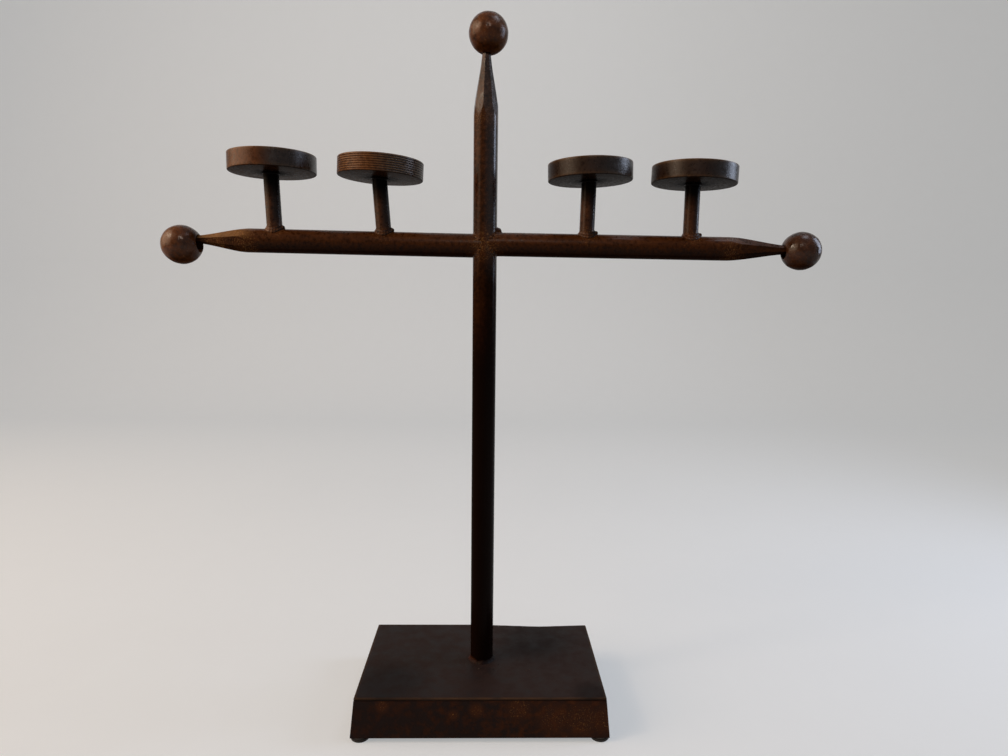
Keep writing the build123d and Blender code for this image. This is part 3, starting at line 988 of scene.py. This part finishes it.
class STAND_OT_stage(bpy.types.Operator):
    """Set the pale floor and backdrop, the soft lamps and the camera"""

    bl_idname = "stand.stage"
    bl_label = "Stage"

    def floor(self, scene):
        """Floor of pale seamless paper that sweeps up into the backdrop."""
        floor_size, floor_middle = 6.0, -1.3
        bend_radius, bend_steps, wall_height = 0.6, 9, 2.2
        rear = floor_middle + floor_size / 2
        clear()
        bpy.ops.mesh.primitive_plane_add(size=floor_size, location=(0, floor_middle, 0))
        sweep = bpy.context.object
        sweep.name = "floor_and_backdrop"
        bpy.ops.object.transform_apply(location=True, rotation=True, scale=True)
        bpy.ops.object.mode_set(mode="EDIT")
        pick(sweep, "EDGE", lambda e: min(v.co.y for v in e.verts) > rear - bend_radius)
        bends = [math.radians(90 * step / bend_steps) for step in range(bend_steps + 1)]
        for last, bend in zip(bends, bends[1:]):
            back = bend_radius * (math.sin(bend) - math.sin(last))
            rise = bend_radius * (math.cos(last) - math.cos(bend))
            bpy.ops.mesh.extrude_region_move(TRANSFORM_OT_translate={"value": (0, back, rise)})
        bpy.ops.mesh.extrude_region_move(TRANSFORM_OT_translate={"value": (0, 0, wall_height)})
        clear()
        take(sweep)
        bpy.ops.object.shade_smooth()
        sweep.data.materials.append(self.paper(scene))

    def paper(self, scene):
        """Pale seamless paper: clouded a little, and lit from within only for rays that show it."""
        cloud_size, glow_strength = 40, 0.50
        paper = bpy.data.materials.new("pale_seamless_paper")
        paper.use_nodes = True
        tree = paper.node_tree
        pale = tuple(scene.stand_colours.floor)
        dim, lit, clouded = (tuple(c * share for c in pale[:3]) + (1.0,) for share in (0.3, 0.75, 0.97))
        place = add(tree, "TexCoord").outputs["Object"]
        fibre = add(tree, "TexNoise", {"Vector": place, "Scale": 1 / (cloud_size * MM), "Detail": 5.0})
        tone = add(tree, "Mix", {"Factor": fibre, "A": pale, "B": clouded}, data_type="RGBA")
        seen = shown(tree)
        base = add(tree, "Mix", {"Factor": seen, "A": dim, "B": lit}, data_type="RGBA")
        glow = add(tree, "Math", {0: seen, 1: glow_strength}, operation="MULTIPLY")
        feed(tree, tree.nodes["Principled BSDF"], {
            "Roughness": 0.8, "Specular IOR Level": 0.2, "Base Color": base,
            "Emission Color": tone, "Emission Strength": glow})
        return paper

    def walls(self, scene):
        """Dim studio walls, brighter and warmer to the left, and mid-grey where they are seen."""
        seen_strength = 0.22
        world = bpy.data.worlds.new("studio_walls")
        scene.world = world
        world.use_nodes = True
        tree = world.node_tree
        ways = add(tree, "SeparateXYZ", {"Vector": add(tree, "TexCoord").outputs["Generated"]}).outputs
        back = add(tree, "MapRange", {
            "Value": ways["Y"], "From Min": -0.5, "From Max": 0.7, "To Min": 0.02, "To Max": 0.12})
        left = add(tree, "MapRange", {
            "Value": ways["X"], "From Min": -0.3, "From Max": -0.9, "To Min": 0.0, "To Max": 0.45})
        light = add(tree, "Math", {0: back, 1: left}, operation="ADD")
        room = add(tree, "Math", {0: shown(tree), 1: seen_strength}, operation="MULTIPLY")
        strength = add(tree, "Math", {0: light, 1: room}, operation="MAXIMUM")
        warmth = add(tree, "MapRange", {"Value": ways["X"], "From Min": 0.0, "From Max": -0.6})
        colour = add(tree, "Mix", {
            "Factor": warmth, "A": linear("F4F5F8"), "B": linear("FFE0C0")}, data_type="RGBA")
        feed(tree, tree.nodes["Background"], {"Strength": strength, "Color": colour})

    def lamp(self, name, place, aim, size, power, colour):
        """Soft rectangular lamp that looks at a point."""
        place, aim = Vector(place), Vector(aim)
        turn = (aim - place).to_track_quat("-Z", "Y").to_euler()
        clear()
        bpy.ops.object.light_add(type="AREA", location=place, rotation=turn)
        lamp = bpy.context.object
        lamp.name = name
        lamp.data.shape = "RECTANGLE"
        lamp.data.size, lamp.data.size_y = size
        lamp.data.energy = power
        lamp.data.color = linear(colour)[:3]

    def camera(self, scene):
        """Camera at the viewing angle and with the field of view of the photograph."""
        camera = bpy.data.cameras.new("front_camera")
        camera.sensor_fit = "HORIZONTAL"
        camera.sensor_width = SENSOR_WIDTH
        camera.lens = FOCAL_PIXELS / IMAGE_WIDTH * SENSOR_WIDTH
        camera.clip_start = 0.01
        holder = bpy.data.objects.new("front_camera", camera)
        scene.collection.objects.link(holder)
        yaw, pitch, roll = (math.radians(angle) for angle in CAMERA_TURNS)
        level_ahead = Vector((math.sin(yaw), math.cos(yaw), 0))
        level_right = Vector((math.cos(yaw), -math.sin(yaw), 0))
        ahead = math.cos(pitch) * level_ahead - math.sin(pitch) * Vector((0, 0, 1))
        over = math.cos(pitch) * Vector((0, 0, 1)) + math.sin(pitch) * level_ahead
        right = math.cos(roll) * level_right + math.sin(roll) * over
        up = -math.sin(roll) * level_right + math.cos(roll) * over
        turn = Matrix((right, up, -ahead)).transposed().to_4x4()
        holder.matrix_world = Matrix.Translation(Vector(CAMERA_PLACE) * MM) @ turn
        scene.camera = holder

    def execute(self, context):
        scene = context.scene
        scene.view_settings.view_transform = "Standard"
        self.floor(scene)
        self.walls(scene)
        for name, settings in LAMPS.items():
            self.lamp(name, *settings)
        self.camera(scene)
        return {"FINISHED"}


class STAND_PT_panel(bpy.types.Panel):
    """Lists the steps that dress the candle stand"""

    bl_label = "Candle stand"
    bl_idname = "STAND_PT_panel"
    bl_space_type = "VIEW_3D"
    bl_region_type = "UI"
    bl_category = "Candle stand"

    def draw(self, context):
        for step in STEPS:
            self.layout.operator(step.bl_idname)
        for group in (context.scene.stand_sizes, context.scene.stand_colours):
            for key in group.__annotations__:
                self.layout.prop(group, key)


STEPS = (
    STAND_OT_base,
    STAND_OT_feet,
    STAND_OT_bars,
    STAND_OT_balls,
    STAND_OT_cups,
    STAND_OT_prickets,
    STAND_OT_welds,
    STAND_OT_spatter,
    STAND_OT_stage,
)
CLASSES = (StandSizes, StandColours, *STEPS, STAND_PT_panel)


def register():
    for item in CLASSES:
        bpy.utils.register_class(item)
    bpy.types.Scene.stand_sizes = PointerProperty(type=StandSizes)
    bpy.types.Scene.stand_colours = PointerProperty(type=StandColours)


def unregister():
    del bpy.types.Scene.stand_colours
    del bpy.types.Scene.stand_sizes
    for item in reversed(CLASSES):
        bpy.utils.unregister_class(item)


def main():
    register()
    bpy.ops.stand.base()
    bpy.ops.stand.feet()
    bpy.ops.stand.bars()
    bpy.ops.stand.balls()
    bpy.ops.stand.cups()
    bpy.ops.stand.prickets()
    bpy.ops.stand.welds()
    bpy.ops.stand.spatter()
    bpy.ops.stand.stage()


if __name__ == "__main__":
    main()
